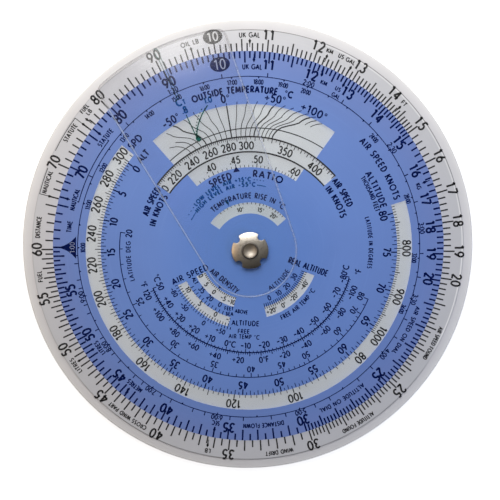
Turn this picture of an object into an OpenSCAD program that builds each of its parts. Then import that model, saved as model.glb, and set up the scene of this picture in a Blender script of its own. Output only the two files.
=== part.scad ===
// Circular slide rule of the pocket flight-computer kind, lying face up.
// Three discs and a cursor turn on one riveted hub, with spring washers on both sides.
// Origin on the pivot axis at the rear rivet head, +Y at twelve o'clock, angles clockwise.

/* [Base disc] */
// Radius of the rim
rim_r = 76.2; // [75:0.1:90]
// Radius of the printed sheets, where the bevel of the rim begins
sheet_r = 72.95; // [72:0.05:74.5]
// Thickness of the rigid core
core_t = 1.2; // [1:0.1:2]
// Thickness of the core left at the edge of the rim
rim_t = 0.8; // [0.4:0.1:0.9]
// Thickness of each printed sheet
sheet_t = 0.2; // [0.1:0.05:0.4]

/* [Computing disc] */
// Radius of the clear disc and of its blue face
disc_r = 65.8; // [60:0.1:70]
// Thickness of the clear disc
disc_t = 0.7; // [0.5:0.1:1.2]
// Thickness of the blue face laminated to it
face_t = 0.1; // [0.05:0.05:0.2]

/* [Windows in the blue face] */
// Temperature window, inner and outer radius
temperature_r = [37.9, 48.6]; // [34:0.1:49]
// Temperature window, first and last angle
temperature_deg = [-41.5, 35.7]; // [-60:0.1:60]
// Ring below it, inner and outer radius
true_speed_r = [32.9, 37.9]; // [28:0.1:40]
// Ring below it, first and last angle
true_speed_deg = [-54.6, 49.1]; // [-60:0.1:60]
// Speed ratio window, inner and outer radius
ratio_r = [27.8, 32.9]; // [24:0.1:34]
// Speed ratio window, first and last angle
ratio_deg = [-39.4, 33.6]; // [-60:0.1:60]
// Air speed ring, inner and outer radius
air_speed_r = [49.9, 55]; // [45:0.05:56]
// Air speed ring, first and last angle
air_speed_deg = [72.3, 309.6]; // [66:0.1:312]
// Temperature rise window, inner and outer radius
rise_r = [12.4, 16.1]; // [10:0.1:18]
// Temperature rise window, first and last angle
rise_deg = [-55.3, 48.9]; // [-60:0.1:60]
// True altitude window, inner and outer radius
altitude_r = [19.9, 23.5]; // [14:0.1:30]
// True altitude window, first and last angle
altitude_deg = [111.5, 165.9]; // [95:0.1:180]
// Outer air density window, inner and outer radius
density_outer_r = [23.7, 27]; // [21:0.1:30]
// Inner air density window, inner and outer radius
density_inner_r = [16.7, 20.1]; // [12:0.1:21]
// Both air density windows, first and last angle
density_deg = [195.9, 244]; // [185:0.1:260]

/* [Log scales] */
// Angle of the index ten on the base
outer_zero = -9.84; // [-180:0.01:180]
// Angle of the index ten on the computing disc
inner_zero = -9.12; // [-180:0.01:180]
// Length of a short and a long graduation on the base
outer_tick = [2.7, 4]; // [1:0.1:5]
// Length of a short and a long graduation on the computing disc
inner_tick = [2.25, 3.7]; // [1:0.05:5]
// Width of a graduation on the base and on the computing disc
tick_w = [0.48, 0.56]; // [0.2:0.02:0.6]
// Thickness of the printed ink
ink_t = 0.03; // [0.02:0.01:0.06]

/* [Cursor] */
// Radius of the round end about the hub
cursor_hub_r = 16; // [12:0.1:20]
// Radius of the outer end, about the hub
cursor_end_r = 73.4; // [68:0.1:75]
// Flare of each side from the middle line
cursor_flare = 6; // [2:0.1:9]
// Radius of the two outer corners
cursor_corner_r = 3; // [1:0.1:5]
// Angle of the hairline
cursor_deg = -25.1; // [-180:0.1:180]
// Thickness of the clear sheet
cursor_t = 0.9; // [0.6:0.1:1.5]

/* [Rear discs] */
// Radius of the wind disc
wind_r = 66; // [60:0.1:70]
// Thickness of the wind disc
wind_t = 0.7; // [0.5:0.1:1.2]
// Radius of the frosted compass disc
compass_r = 52; // [40:0.1:58]
// Thickness of the frosted compass disc
compass_t = 0.6; // [0.5:0.1:1.2]

/* [Hub] */
// Radius of the tubular rivet's shank
shank_r = 2; // [1.5:0.1:2.5]
// Outer radius of the bush that the discs turn on
bush_r = 3; // [2.8:0.1:4]
// Running clearance of each disc on the bush
running_fit = 0.05; // [0.02:0.01:0.1]
// Height left between two discs for a slip washer
slip_gap = 0.14; // [0.1:0.02:0.3]
// Outer radius of a slip washer
slip_r = 4.6; // [4:0.1:4.7]
// Radius of a spring washer over its petals
spring_r = 6.2; // [5:0.1:8]
// Thickness of a spring washer
spring_t = 0.3; // [0.2:0.05:0.4]
// Height of the front and of the rear spring washer
spring_h = [1.1, 0.8]; // [0.6:0.1:1.5]
// Turn of the petals from the twelve o'clock line
spring_deg = -6; // [-45:1:45]
// Radius of the rear rivet head
head_r = 3.3; // [3:0.1:4]
// Thickness of the rear rivet head
head_t = 0.6; // [0.4:0.1:1]
// Radius of the bead rolled over at the front of the rivet
bead_r = 0.42; // [0.3:0.02:0.5]

/* [Hidden] */
$fn = 96;

// Heights of the stack, from the rear rivet head upwards
compass_z = head_t + spring_h[1];
wind_z = compass_z + compass_t + slip_gap;
base_z = wind_z + wind_t + slip_gap;
core_z = base_z + sheet_t;
front_z = core_z + core_t;
disc_z = front_z + sheet_t + slip_gap;
face_z = disc_z + disc_t;
cursor_z = face_z + face_t + slip_gap;
front_spring_z = cursor_z + cursor_t;
collar_z = front_spring_z + spring_h[0];

// Gap that lets a pair turn or go together, and the overlap of a cut past a face
slack = 0.02;
cut = 1;

hole_r = bush_r + running_fit;
rim_bevel = (core_t - rim_t) / 2;
bead_ring_r = shank_r + bead_r;
head_flat_r = head_r - 0.7;
bowl_r = 2.7;
bowl_depth = 1.3;

// Flat middle of a spring washer, and how many straight pieces draw its crown
spring_flat_r = 3.2;
crown_steps = 10;
notch_r = 1.25;
notch_ring_r = 6;

windows = [
    [temperature_r, temperature_deg], [true_speed_r, true_speed_deg], [ratio_r, ratio_deg],
    [air_speed_r, air_speed_deg], [rise_r, rise_deg], [altitude_r, altitude_deg],
    [density_outer_r, density_deg], [density_inner_r, density_deg]
];

// One decade of graduations: from, to, step, and how many steps to a long one
decade = [[10, 15, 0.1, 5], [15, 30, 0.2, 5], [30, 60, 0.5, 2], [60, 100, 1, 5]];

function clock(r, deg) = r * [sin(deg), cos(deg)];
function log_deg(value) = 360 * log(value / 10);
function arc(centre, r, from_deg, to_deg, steps) =
    [for (i = [0:steps]) centre + clock(r, from_deg + (to_deg - from_deg) * i / steps)];

module disc(r, h, hole) {
    linear_extrude(h) difference() {
        circle(r);
        circle(hole);
    }
}

// Sector of a circle, clockwise from one angle to another
module sector(r, from_deg, to_deg) {
    steps = ceil((to_deg - from_deg) / 40);
    intersection() {
        circle(r);
        polygon(concat([[0, 0]], arc([0, 0], 1.5 * r, from_deg, to_deg, steps)));
    }
}

// Sector of a ring, with radial ends
module ring_sector(radii, degs) {
    difference() {
        sector(radii[1], degs[0], degs[1]);
        circle(radii[0]);
    }
}

// Logarithmic graduations inwards (side -1) or outwards (side 1) from a circle
module log_graduations(zero, r, side, lengths, w) {
    for (span = decade, i = [0:round((span[1] - span[0]) / span[2]) - 1]) {
        value = span[0] + i * span[2];
        length = i % span[3] == 0 ? lengths[1] : lengths[0];
        rotate(-zero - log_deg(value))
            translate([-w / 2, side > 0 ? r : r - length, 0])
                cube([w, length, ink_t]);
    }
}

// Dished washer with four petals: flat middle, crown falling away to the tips
module spring_washer(h) {
    fall = h - spring_t - slack;
    span = spring_r - spring_flat_r;
    crown = [for (i = [0:crown_steps])
        let (s = i / crown_steps) [spring_flat_r + span * s, h - fall * s * s]];
    under = [for (i = [crown_steps:-1:0]) crown[i] - [0, spring_t]];
    inner = shank_r + slack;
    difference() {
        rotate_extrude() polygon(concat(
            [[inner, h - spring_t], [inner, h]], crown, under
        ));
        for (i = [0:3])
            rotate(45 + 90 * i - spring_deg) translate([notch_ring_r, 0, -cut])
                cylinder(r = notch_r, h = h + 2 * cut);
    }
}

module base_core() {
    color("whitesmoke") translate([0, 0, core_z]) rotate_extrude() polygon([
        [bush_r + slack, 0], [sheet_r, 0], [rim_r, rim_bevel],
        [rim_r, core_t - rim_bevel], [sheet_r, core_t], [bush_r + slack, core_t]
    ]);
}

module front_scale_sheet() {
    color("white") translate([0, 0, front_z]) disc(sheet_r, sheet_t, bush_r + slack);
}

module rear_scale_sheet() {
    color("white") translate([0, 0, base_z]) disc(sheet_r, sheet_t, bush_r + slack);
}

module outer_graduations() {
    color("black") translate([0, 0, front_z + sheet_t])
        log_graduations(outer_zero, disc_r + running_fit, 1, outer_tick, tick_w[0]);
}

module computing_disc() {
    color("gainsboro", 0.5) translate([0, 0, disc_z]) disc(disc_r, disc_t, hole_r);
}

module computing_face() {
    color("cornflowerblue") translate([0, 0, face_z]) linear_extrude(face_t) difference() {
        circle(disc_r);
        circle(hole_r);
        for (w = windows) ring_sector(w[0], w[1]);
    }
}

module inner_graduations() {
    color("midnightblue") translate([0, 0, face_z + face_t])
        log_graduations(inner_zero, disc_r - running_fit, -1, inner_tick, tick_w[1]);
}

// Teardrop: round hub, sides tangent to it, rounded corners and an end that is an arc about the hub
module cursor() {
    square_deg = 90 + cursor_flare;
    corner_off = cursor_hub_r - cursor_corner_r;
    corner_reach = cursor_end_r - cursor_corner_r;
    corner_deg = square_deg - acos(corner_off / corner_reach);
    corner = clock(corner_reach, corner_deg);
    end = arc([0, 0], cursor_end_r, -0.95 * corner_deg, 0.95 * corner_deg, 22);
    right = concat(
        arc(corner, cursor_corner_r, corner_deg, square_deg, 8),
        arc([0, 0], cursor_hub_r, square_deg, 178, 28)
    );
    left = [for (i = [len(right) - 1:-1:0]) [-right[i].x, right[i].y]];
    color("honeydew", 0.5) translate([0, 0, cursor_z]) rotate(-cursor_deg)
        linear_extrude(cursor_t) difference() {
            polygon(concat(end, right, left));
            circle(hole_r);
        }
}

module wind_disc() {
    color("honeydew") translate([0, 0, wind_z]) disc(wind_r, wind_t, hole_r);
}

module compass_disc() {
    color("ghostwhite", 0.6) translate([0, 0, compass_z]) disc(compass_r, compass_t, hole_r);
}

// Flat rear head with a bevelled edge, shank, and a front end rolled over into a bead round a bowl
module hub_rivet() {
    bowl_z = collar_z + 2 * bead_r - bowl_depth + bowl_r;
    color("silver") difference() {
        union() {
            rotate_extrude() polygon([
                [0, 0], [head_flat_r, 0], [head_r, head_t / 2], [head_r, head_t], [0, head_t]
            ]);
            cylinder(r = shank_r, h = collar_z);
            translate([0, 0, collar_z]) cylinder(r = bead_ring_r, h = bead_r);
            translate([0, 0, collar_z + bead_r]) rotate_extrude()
                translate([bead_ring_r, 0]) circle(bead_r);
        }
        translate([0, 0, bowl_z]) sphere(bowl_r);
    }
}

module hub_bush() {
    bush_z = head_t + spring_t;
    color("goldenrod") translate([0, 0, bush_z])
        disc(bush_r, collar_z - spring_t - bush_z, shank_r + slack);
}

module slip_washers() {
    slips = [compass_z + compass_t, wind_z + wind_t, disc_z - slip_gap, cursor_z - slip_gap];
    color("ivory") for (z = slips)
        translate([0, 0, z + slack]) disc(slip_r, slip_gap - 2 * slack, bush_r + slack);
}

module front_spring_washer() {
    color("silver") translate([0, 0, front_spring_z]) spring_washer(spring_h[0]);
}

module rear_spring_washer() {
    color("silver") translate([0, 0, compass_z]) mirror([0, 0, 1]) spring_washer(spring_h[1]);
}

base_core();
front_scale_sheet();
rear_scale_sheet();
outer_graduations();
computing_disc();
computing_face();
inner_graduations();
cursor();
wind_disc();
compass_disc();
hub_rivet();
hub_bush();
slip_washers();
front_spring_washer();
rear_spring_washer();
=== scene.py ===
import bpy
import numpy as np
from mathutils import Matrix


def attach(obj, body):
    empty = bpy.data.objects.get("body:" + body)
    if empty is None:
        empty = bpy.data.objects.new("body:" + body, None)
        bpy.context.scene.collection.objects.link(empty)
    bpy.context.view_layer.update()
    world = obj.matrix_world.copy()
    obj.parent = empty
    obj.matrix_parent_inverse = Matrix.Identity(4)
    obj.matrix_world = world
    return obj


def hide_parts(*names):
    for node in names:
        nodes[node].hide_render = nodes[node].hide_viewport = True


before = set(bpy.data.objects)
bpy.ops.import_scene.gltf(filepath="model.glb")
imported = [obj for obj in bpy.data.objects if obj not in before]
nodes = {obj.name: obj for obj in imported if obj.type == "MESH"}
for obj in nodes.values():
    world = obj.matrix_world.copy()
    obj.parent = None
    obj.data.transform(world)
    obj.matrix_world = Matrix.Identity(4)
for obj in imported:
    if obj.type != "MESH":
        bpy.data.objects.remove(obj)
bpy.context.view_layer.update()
scene = bpy.context.scene
scene.view_settings.view_transform = "Standard"
mm = 0.001
toneMm = 80  # reach of the ramps that colour a piece by its distance from the hub
print("frame:", len(nodes), "nodes")

# Angles are degrees clockwise from twelve o'clock, lengths are millimetres until a mesh is made.


def linear(code):
    # sRGB hex to the linear colour that a shader takes
    c = np.array([int(code[i : i + 2], 16) for i in (1, 3, 5)]) / 255
    c = np.where(c <= 0.04045, c / 12.92, ((c + 0.055) / 1.055) ** 2.4)
    return (*c.tolist(), 1.0)


def put(tree, kind, sockets=None, stops=(), **settings):
    # One node with its settings. A socket takes a value, another node's output, or a node, which stands for
    # its first output. A ramp takes its stops as (place, colour).
    node = tree.nodes.new("ShaderNode" + kind)
    for name, value in settings.items():
        setattr(node, name, value)
    if stops:
        row = node.color_ramp.elements
        row.remove(row[1])
        row[0].position, row[0].color = stops[0]
        for at, colour in stops[1:]:
            row.new(at).color = colour
    for name, value in (sockets or {}).items():
        if isinstance(value, bpy.types.Node):
            value = value.outputs[0]
        if isinstance(value, bpy.types.NodeSocket):
            tree.links.new(value, node.inputs[name])
        else:
            node.inputs[name].default_value = value
    return node


def newFinish(name, skin, *look):
    # A material named for what the real one is, with the shader that its skin function makes
    material = bpy.data.materials.new(name)
    material.use_nodes = True
    material.node_tree.nodes.clear()
    put(material.node_tree, "OutputMaterial", {0: skin(material.node_tree, *look)})
    return material


def hubPolar(tree):
    # Distance from the hub axis and angle about it, from Object coordinates
    place = put(tree, "TexCoord").outputs["Object"]
    flat = put(tree, "VectorMath", {0: place, 1: (1, 1, 0)}, operation="MULTIPLY")
    reach = put(tree, "VectorMath", {0: flat}, operation="LENGTH").outputs["Value"]
    axes = put(tree, "SeparateXYZ", {0: place})
    turn = put(tree, "Math", {0: axes, 1: axes.outputs[1]}, operation="ARCTAN2")
    return place, reach, turn


def roundNoise(tree, reach, turn, rowMm, detail, sweep=1.0):
    # Noise drawn out round the hub, as rub marks and turning lines are: fine outwards, long round the angle
    rows = put(tree, "Math", {0: reach, 1: 1 / (rowMm * mm)}, operation="MULTIPLY")
    along = put(tree, "Math", {0: turn, 1: sweep}, operation="MULTIPLY")
    track = put(tree, "CombineXYZ", {0: rows, 1: along})
    return put(tree, "TexNoise", {"Vector": track, "Scale": 1.0, "Detail": detail})


def toneRing(tree, reach, tones):
    # Colour by the distance from the hub, from stops of millimetres and hex
    part = put(tree, "Math", {0: reach, 1: 1 / (toneMm * mm)}, operation="MULTIPLY")
    return put(tree, "ValToRGB", {0: part}, stops=[(r / toneMm, linear(code)) for r, code in tones])


def nearCircle(tree, reach, atMm, fullMm, goneMm, amount):
    # A line along a circle about the hub: whole up to one distance from it, gone past the other
    off = put(tree, "Math", {0: reach, 1: atMm * mm}, operation="SUBTRACT")
    off = put(tree, "Math", {0: off}, operation="ABSOLUTE")
    return put(tree, "MapRange", {0: off, 1: fullMm * mm, 2: goneMm * mm, 3: amount, 4: 0.0})


def satinVinyl(tree, look):
    # Rigid calendered PVC sheet: even satin, faint clouding, and rub marks round the hub where
    # a disc or the cursor has slid over it. Its tone may change with the distance from the hub, and thin
    # lines of painted shade (dark) and painted highlight (bright) may lie along an edge, stronger over some
    # angles than over others.
    place, reach, turn = hubPolar(tree)
    cloud = put(tree, "TexNoise", {"Vector": place, "Scale": 1 / (look["cloudMm"] * mm), "Detail": 3})
    rub = roundNoise(tree, reach, turn, look["rubMm"], 2, sweep=1.3)
    mark = put(tree, "MapRange", {0: rub, 1: 0.56, 2: 0.72, 3: 0.0, 4: look["rub"]})
    tone = toneRing(tree, reach, look["tones"])
    base = put(tree, "Mix", {0: cloud, 6: tone, 7: linear(look["shade"])},
               data_type="RGBA", blend_type="MULTIPLY")
    worn = put(tree, "Mix", {0: mark, 6: base.outputs[2], 7: linear(look["worn"])},
               data_type="RGBA")
    skin = worn.outputs[2]
    around = put(tree, "MapRange", {0: turn, 1: -np.pi, 2: np.pi, 3: 0.0, 4: 1.0})
    # Painted shade and painted highlight: each line is mixed over the colour along a circle, by angle
    for line in look.get("lines", ()):
        near = nearCircle(tree, reach, line["atMm"], 0.0, line["wideMm"], 1.0)
        paintedLightAround = put(tree, "ValToRGB", {0: around},
                   stops=[((deg + 180) / 360, (v, v, v, 1)) for deg, v in line["round"]])
        amount = put(tree, "Math", {0: near, 1: paintedLightAround}, operation="MULTIPLY")
        skin = put(tree, "Mix", {0: amount, 6: skin, 7: linear(line["colour"])}, data_type="RGBA").outputs[2]
    rough = put(tree, "MapRange", {0: cloud, 1: 0.3, 2: 0.7,
                                   3: look["rough"] - 0.05, 4: look["rough"] + 0.06})
    grain = put(tree, "TexNoise", {"Vector": place, "Scale": 1 / (0.45 * mm), "Detail": 2})
    bump = put(tree, "Bump", {"Strength": 0.12, "Distance": 0.02 * mm, "Height": grain})
    shader = put(tree, "BsdfPrincipled", {"Base Color": skin, "Roughness": rough, "IOR": 1.53,
                                          "Specular IOR Level": look.get("shine", 0.5),
                                          "Normal": bump})
    return shader


def screenInk(tree, colour, thin, shine):
    # Screen-printed vinyl ink: matt and nearly opaque, a little thinner in places
    place = put(tree, "TexCoord").outputs["Object"]
    film = put(tree, "TexNoise", {"Vector": place, "Scale": 1 / (1.6 * mm), "Detail": 3})
    part = put(tree, "MapRange", {0: film, 1: 0.45, 2: 0.75, 3: 0.0, 4: 0.7})
    tone = put(tree, "Mix", {0: part, 6: linear(colour), 7: linear(thin)}, data_type="RGBA")
    shader = put(tree, "BsdfPrincipled", {"Base Color": tone.outputs[2], "Roughness": 0.55, "IOR": 1.5,
                                          "Specular IOR Level": shine})
    return shader


def filterInk(tree, colour, filtered, cover):
    # Transparent screen ink on clear sheet: green over white, teal over blue, a little patchy
    place = put(tree, "TexCoord").outputs["Object"]
    film = put(tree, "TexNoise", {"Vector": place, "Scale": 1 / (1.6 * mm), "Detail": 3})
    dense = put(tree, "MapRange", {0: film, 1: 0.35, 2: 0.65, 3: cover * 0.4,
                                   4: cover * 1.6})
    paint = put(tree, "BsdfPrincipled", {"Base Color": linear(colour), "Roughness": 0.5, "IOR": 1.5})
    through = put(tree, "BsdfTransparent", {"Color": linear(filtered)})
    shader = put(tree, "MixShader", {0: dense, 1: through, 2: paint})
    return shader


def clearVinyl(tree, look):
    # Press-polished clear PVC: lets nearly all light through, mirrors a little of the room on its outer
    # side, more at a slant, and carries a trace of haze and handling marks
    place, reach, turn = hubPolar(tree)
    rub = roundNoise(tree, reach, turn, 0.5, 3)
    haze = put(tree, "MapRange", {0: rub, 1: 0.45, 2: 0.75, 3: look["haze"] * 0.6,
                                  4: look["haze"] * 1.8})
    rough = put(tree, "MapRange", {0: rub, 1: 0.3, 2: 0.7, 3: look["rough"] - 0.05,
                                   4: look["rough"] + 0.05})
    tint = toneRing(tree, reach, look["tints"])
    through = put(tree, "BsdfTransparent", {"Color": tint})
    fog = put(tree, "BsdfDiffuse", {"Color": linear(look["fog"])})
    body = put(tree, "MixShader", {0: haze, 1: through, 2: fog})
    gloss = put(tree, "BsdfGlossy", {"Color": (1, 1, 1, 1), "Roughness": rough})
    side = put(tree, "NewGeometry")
    outside = put(tree, "Math", {0: 1.0, 1: side.outputs["Backfacing"]}, operation="SUBTRACT")
    slant = put(tree, "Fresnel", {"IOR": look["ior"]})
    mirror = put(tree, "Math", {0: slant, 1: outside}, operation="MULTIPLY")
    if "bent" in look:
        # Painted reflection: near one corner the gloss is tilted towards the window, made rougher and several
        # times stronger, a broad glare
        bent = look["bent"]
        away = put(tree, "VectorMath", {0: place, 1: [v * mm for v in bent["atMm"]]}, operation="DISTANCE")
        near = put(tree, "MapRange", {0: away.outputs["Value"], 1: 0.0, 2: bent["wideMm"] * mm, 3: 1.0,
                                      4: 0.0}, interpolation_type="SMOOTHSTEP")
        fall = put(tree, "VectorTransform", {0: bent["fall"]}, vector_type="VECTOR",
                   convert_from="OBJECT", convert_to="WORLD")
        fall = put(tree, "VectorMath", {0: fall, "Scale": near}, operation="SCALE")
        facing = put(tree, "VectorMath", {0: side.outputs["Normal"], 1: fall}, operation="ADD")
        facing = put(tree, "VectorMath", {0: facing}, operation="NORMALIZE")
        scuffed = put(tree, "Math", {0: near, 1: bent["scuff"], 2: rough},
                      operation="MULTIPLY_ADD")
        gloss = put(tree, "BsdfGlossy", {"Color": (1, 1, 1, 1), "Roughness": scuffed, "Normal": facing})
        more = put(tree, "MapRange", {0: near, 1: 0.0, 2: 1.0, 3: 1.0, 4: bent["gain"]})
        mirror = put(tree, "Math", {0: mirror, 1: more}, operation="MULTIPLY")
    shader = put(tree, "MixShader", {0: mirror, 1: body, 2: gloss})
    return shader


def cutEdge(tree, tones, see, shine):
    # Die-cut and polished edge of clear sheet, drawn with painted light: light caught inside the sheet leaves
    # where the edge faces away from the lamp, and stands as a pale matt face shaded as if it leaned the other
    # way. On edges facing right, where the fill lamp shines in, that face is thinned, painted shade that
    # makes the line fainter; it is uneven from fine shear marks, and its tone follows what lies below it.
    place, reach, _ = hubPolar(tree)
    tone = toneRing(tree, reach, tones)
    shear = put(tree, "TexNoise", {"Vector": place, "Scale": 1 / (0.8 * mm), "Detail": 2})
    facing = put(tree, "NewGeometry").outputs["Normal"]
    across = put(tree, "VectorMath", {0: facing, 1: (1, 0, 0)}, operation="DOT_PRODUCT").outputs["Value"]
    # Painted shade: the pale face is thinned on edges that face right
    clear = put(tree, "MapRange", {0: across, 1: 0.3, 2: 0.9, 3: see, 4: see + 0.16})
    uneven = put(tree, "MapRange", {0: shear, 1: 0.35, 2: 0.65, 3: -0.05, 4: 0.05})
    amount = put(tree, "Math", {0: clear, 1: uneven}, operation="ADD")
    leant = put(tree, "VectorMath", {0: facing, 1: (-1, -1, 1), 2: (0, 0, 0.5)}, operation="MULTIPLY_ADD")
    leant = put(tree, "VectorMath", {0: leant}, operation="NORMALIZE")
    pale = put(tree, "BsdfDiffuse", {"Color": tone, "Normal": leant})
    through = put(tree, "BsdfTransparent", {"Color": (0.97, 0.97, 0.97, 1)})
    soft = put(tree, "MixShader", {0: amount, 1: pale, 2: through})
    gloss = put(tree, "BsdfGlossy", {"Color": (1, 1, 1, 1), "Roughness": 0.3, "Normal": leant})
    shader = put(tree, "MixShader", {0: shine, 1: soft, 2: gloss})
    return shader


def frostedVinyl(tree):
    # Matt-faced clear PVC for pencil marks: milky, the print below shows through softly
    place = put(tree, "TexCoord").outputs["Object"]
    tooth = put(tree, "TexNoise", {"Vector": place, "Scale": 1 / (0.35 * mm), "Detail": 2})
    smudge = put(tree, "TexNoise", {"Vector": place, "Scale": 1 / (14 * mm), "Detail": 3})
    tone = put(tree, "Mix", {0: smudge, 6: linear("#dfe3e2"), 7: linear("#c9cfd0")},
               data_type="RGBA")
    bump = put(tree, "Bump", {"Strength": 0.3, "Distance": 0.03 * mm, "Height": tooth})
    milk = put(tree, "BsdfPrincipled", {"Base Color": tone.outputs[2], "Roughness": 0.62, "IOR": 1.53,
                                        "Normal": bump})
    through = put(tree, "BsdfTransparent", {"Color": (0.96, 0.97, 0.97, 1)})
    shader = put(tree, "MixShader", {0: 0.5, 1: milk, 2: through})
    return shader


def platedMetal(tree, look):
    # Stamped and plated metal: bright, with fine drawing lines round the hub and dull specks, and a dark ring
    # at a set distance from the hub; on the rivet that ring is painted shade of its rolled bead
    place, reach, turn = hubPolar(tree)
    drawn = roundNoise(tree, reach, turn, 0.12, 2)
    speck = put(tree, "TexNoise", {"Vector": place, "Scale": 1 / (0.7 * mm), "Detail": 3})
    spot = put(tree, "MapRange", {0: speck, 1: 0.55, 2: 0.72, 3: 0.0, 4: 0.5})
    tone = put(tree, "Mix", {0: spot, 6: linear(look["colour"]), 7: linear(look["dark"])},
               data_type="RGBA")
    # Dark ring about the hub; on the rivet it is painted shade
    near = nearCircle(tree, reach, look["grimeMm"], 0.05, look["grimeWide"], look["grime"])
    tone = put(tree, "Mix", {0: near, 6: tone.outputs[2], 7: linear("#2b2520")}, data_type="RGBA")
    dull = put(tree, "MapRange", {0: drawn, 1: 0.3, 2: 0.7, 3: look["rough"] - 0.06,
                                  4: look["rough"] + 0.08})
    bump = put(tree, "Bump", {"Strength": 0.06, "Distance": 0.01 * mm, "Height": drawn})
    shader = put(tree, "BsdfPrincipled", {"Base Color": tone.outputs[2], "Metallic": 1.0,
                                          "Roughness": dull, "Normal": bump})
    return shader


finishes = {
    "whiteVinyl": newFinish("rigid_PVC_white", satinVinyl, {
        # Lighter towards the outer edge: painted light, as if light came through the rolled rim
        "tones": [(72.9, "#dcdbdf"), (73.8, "#e1e1e4"), (75.0, "#e7e7e9"), (76.1, "#f0f0f0")],
        "shade": "#f5f5f4", "worn": "#ececec", "cloudMm": 11, "rubMm": 0.6, "rub": 0.12, "rough": 0.7}),
    "printedWhite": newFinish("rigid_PVC_printed_white", satinVinyl, {
        "tones": [(0, "#d4d7dc"), (63, "#d3d5da"), (67, "#ced0d6"), (73, "#ced0d5")], "shade": "#f3f3f3",
        "worn": "#dcdde0", "cloudMm": 9, "rubMm": 0.5, "rub": 0.1, "rough": 0.45, "shine": 0.9,
        # Painted shade and painted highlight along the crease at the rim: a dark line, strong over some
        # angles, and a white line just inside it over others
        "lines": [{"atMm": 72.86, "wideMm": 0.26, "colour": "#3c3a38",
                   "round": [(-180, 0.7), (-142, 0.65), (-134, 0.28), (-60, 0.2), (-46, 0.3), (-40, 0.5),
                             (-14, 0.55), (-8, 0.85), (68, 0.8), (80, 0.35), (96, 0.08), (122, 0.08),
                             (130, 0.55), (180, 0.7)]},
                  {"atMm": 72.42, "wideMm": 0.36, "colour": "#fdfdfd",
                   "round": [(-180, 0), (14, 0), (26, 0.5), (74, 0.55), (92, 0.9), (114, 0.9), (122, 0),
                             (180, 0)]}]}),
    "blueVinyl": newFinish("PVC_film_blue", satinVinyl, {
        "tones": [(0, "#648cd8"), (20, "#698fd9"), (31, "#7093db"), (50, "#7090d5"), (59, "#738ecf"),
                  (66, "#778dcb")],
        "shade": "#efeff1", "worn": "#7c9ddf", "cloudMm": 17, "rubMm": 0.7, "rub": 0.14,
        "rough": 0.45, "shine": 0.32}),
    "greenVinyl": newFinish("rigid_PVC_pale_green", satinVinyl, {
        "tones": [(0, "#d2e3d0")], "shade": "#ececec", "worn": "#dbe7d9", "cloudMm": 12, "rubMm": 0.6,
        "rub": 0.3, "rough": 0.38}),
    "clearDisc": newFinish("press_polished_clear_PVC", clearVinyl, {
        "tints": [(0, "#fdffff")], "haze": 0.003, "fog": "#d8dcda", "ior": 1.14, "rough": 0.12}),
    "clearCursor": newFinish("press_polished_cursor_PVC", clearVinyl, {
        "tints": [(0, "#f9fcfb"), (30, "#fafbfd"), (52, "#fafafb")], "haze": 0.009, "fog": "#e3e6e6",
        "ior": 1.3, "rough": 0.2,
        # Painted reflection: a broad glare near the outer corner of the cursor
        "bent": {"atMm": (-27.5, 74.5, 6.1), "wideMm": 25, "fall": (-0.03, 0.12, 0.0), "scuff": 0.3,
                 "gain": 7}}),
    "frosted": newFinish("matt_faced_PVC", frostedVinyl),
    # Painted light on the cursor's cut edge: the pale face stands for light leaving the clear sheet, the dark
    # lips for the dark lines along its edge
    "edge": newFinish("die_cut_PVC_edge", cutEdge, [(0, "#c9dcff"), (65.6, "#c9dcff"), (66.4, "#b4b4b6")],
                      0.66, 0.02),
    "edgeLip": newFinish("die_cut_PVC_lip", cutEdge, [(0, "#747a86")], 0.72, 0.01),
    "nickel": newFinish("nickel_plated_steel", platedMetal, {
        "colour": "#d8d0c4", "dark": "#8f8473", "rough": 0.34, "grimeMm": 2.8, "grimeWide": 0.22,
        "grime": 0.6}),
    "rivetNickel": newFinish("nickel_plated_rivet", platedMetal, {
        # The dark ring round the rivet's bowl is painted shade of the rolled bead
        "colour": "#cdc6bc", "dark": "#958a7f", "rough": 0.6, "grimeMm": 2.5, "grimeWide": 0.5,
        "grime": 0.9}),
    "brass": newFinish("turned_brass", platedMetal, {
        "colour": "#c9a45c", "dark": "#8a6a35", "rough": 0.28, "grimeMm": 3.0, "grimeWide": 0.22,
        "grime": 0.3}),
    "nylon": newFinish("moulded_nylon", satinVinyl, {
        "tones": [(0, "#e6e2d8")], "shade": "#ededeb", "worn": "#eeebe4", "cloudMm": 4, "rubMm": 0.3,
        "rub": 0.2, "rough": 0.5}),
    "blackInk": newFinish("screen_ink_black", screenInk, "#18181c", "#28282d", 0.5),
    "navyInk": newFinish("screen_ink_navy", screenInk, "#021247", "#081f66", 0.05),
    "greenInk": newFinish("screen_ink_clear_green", filterInk, "#0b6a50", "#40aea8", 0.1),
    "paleGreenInk": newFinish("screen_ink_clear_green_thin", filterInk, "#0b6a50", "#60bede", 0.08),
    "whiteInk": newFinish("screen_ink_white", screenInk, "#d2d3d5", "#c6c7c9", 0.3),
    "thinWhiteInk": newFinish("screen_ink_thin_white_on_blue", screenInk, "#98a2c0", "#8d98b8", 0.3),
}
nodeFinish = {
    "base_core": "whiteVinyl", "front_scale_sheet": "printedWhite", "rear_scale_sheet": "printedWhite",
    "outer_graduations": "blackInk", "computing_disc": "clearDisc", "computing_face": "blueVinyl",
    "inner_graduations": "navyInk", "cursor": "clearCursor", "wind_disc": "greenVinyl",
    "compass_disc": "frosted", "hub_rivet": "rivetNickel", "hub_bush": "brass", "slip_washers": "nylon",
    "front_spring_washer": "nickel", "rear_spring_washer": "nickel",
}
for nodeName, finish in nodeFinish.items():
    nodes[nodeName].data.materials.clear()
    nodes[nodeName].data.materials.append(finishes[finish])
print("materials:", len(finishes))


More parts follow.
